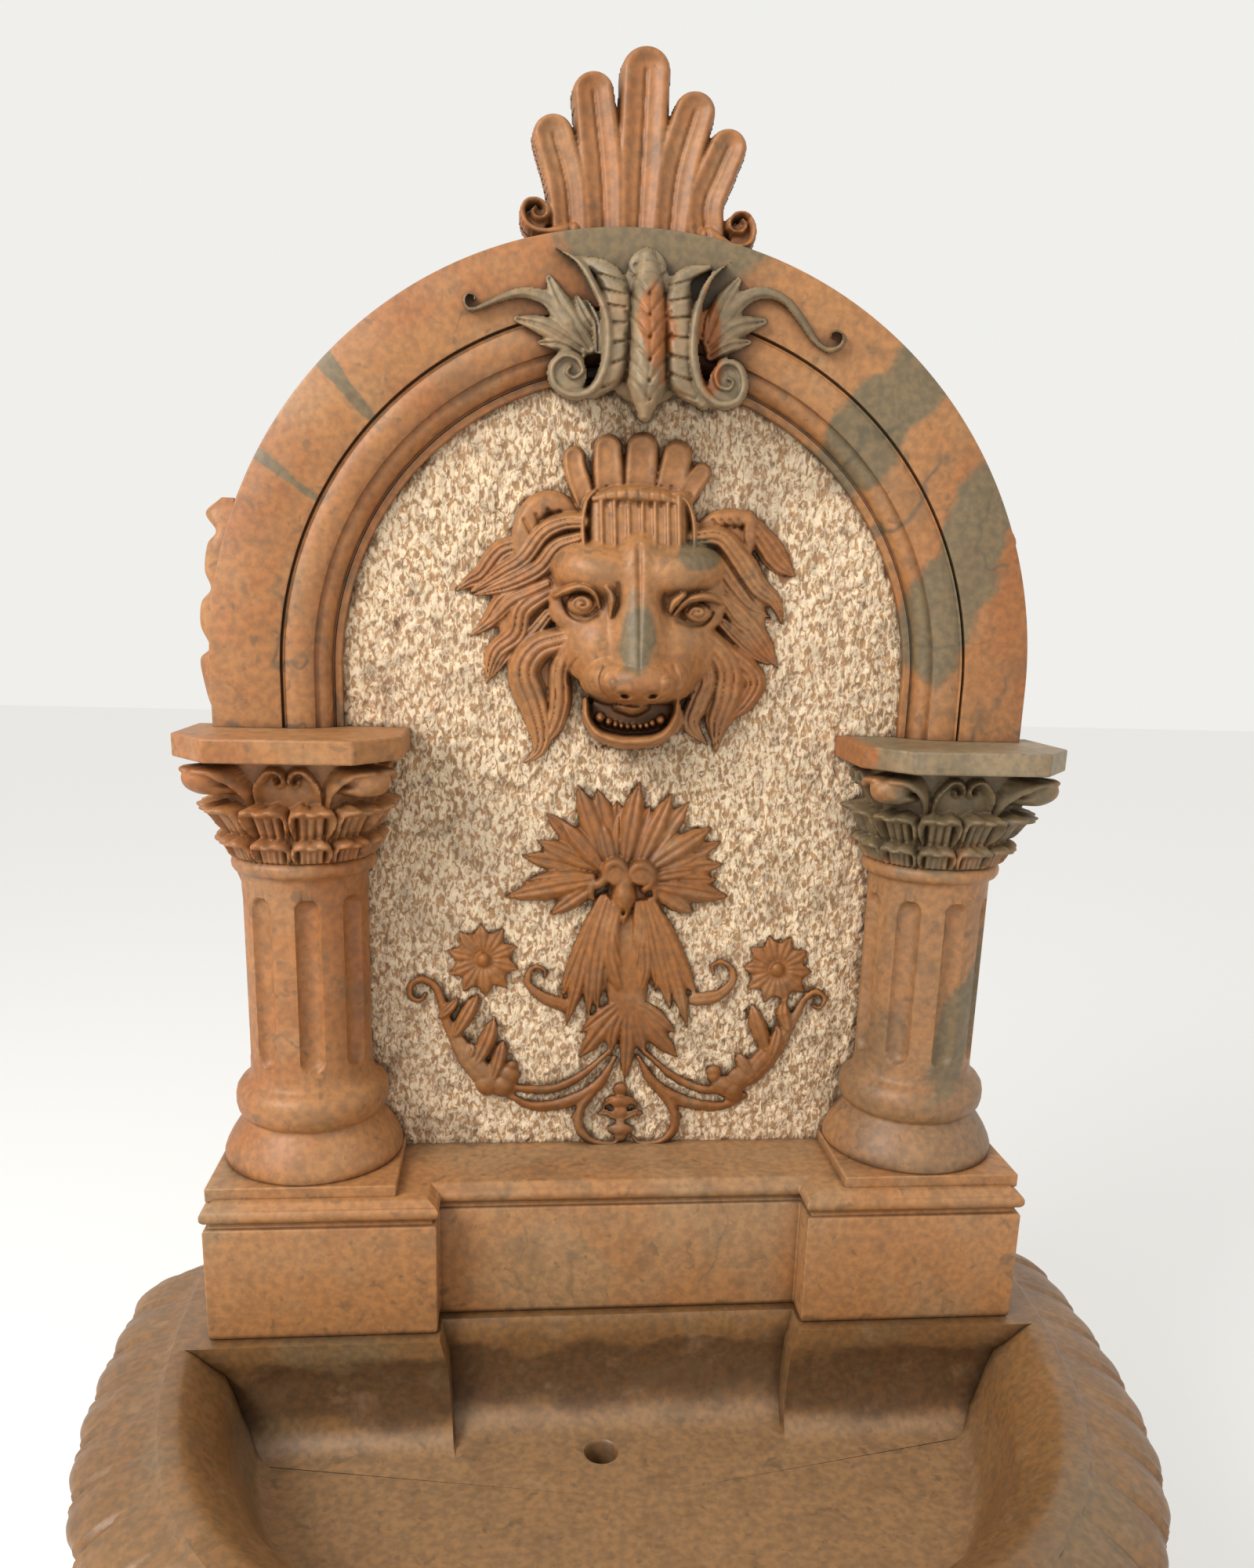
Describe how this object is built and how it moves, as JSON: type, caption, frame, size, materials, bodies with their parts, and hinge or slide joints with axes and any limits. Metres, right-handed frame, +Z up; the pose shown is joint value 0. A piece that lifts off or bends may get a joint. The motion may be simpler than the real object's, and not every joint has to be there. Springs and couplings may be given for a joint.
{
  "type": "wall fountain with lion mask",
  "caption": "Carved stone wall fountain: gadrooned basin on a pedestal, engaged columns, moulded arch, lion mask and leaf relief on a picked back panel, palmette on top.",
  "frame": {"origin": "on the floor, under the middle of the whole", "axes": "+Z up, -Y out of the wall towards the user, +X to the user's right"},
  "size_m": [1.0811, 0.6796, 1.858],
  "materials": {
    "pedestal": "honed, weathered",
    "basin": "honed, weathered",
    "base_course": "honed, weathered",
    "back_panel": "honed, weathered",
    "column_left": "honed, weathered",
    "column_right": "honed, weathered",
    "abacus_left": "honed, weathered",
    "abacus_right": "honed, weathered",
    "arch": "honed, weathered",
    "palmette": "honed, weathered"
  },
  "bodies": {
    "root": {"pedestal": "pedestal", "basin": "basin", "base_course": "base_course", "back_panel": "back_panel", "column_left": "column_left", "column_right": "column_right", "abacus_left": "abacus_left", "abacus_right": "abacus_right", "arch": "arch", "palmette": "palmette"}
  },
  "joints": []
}
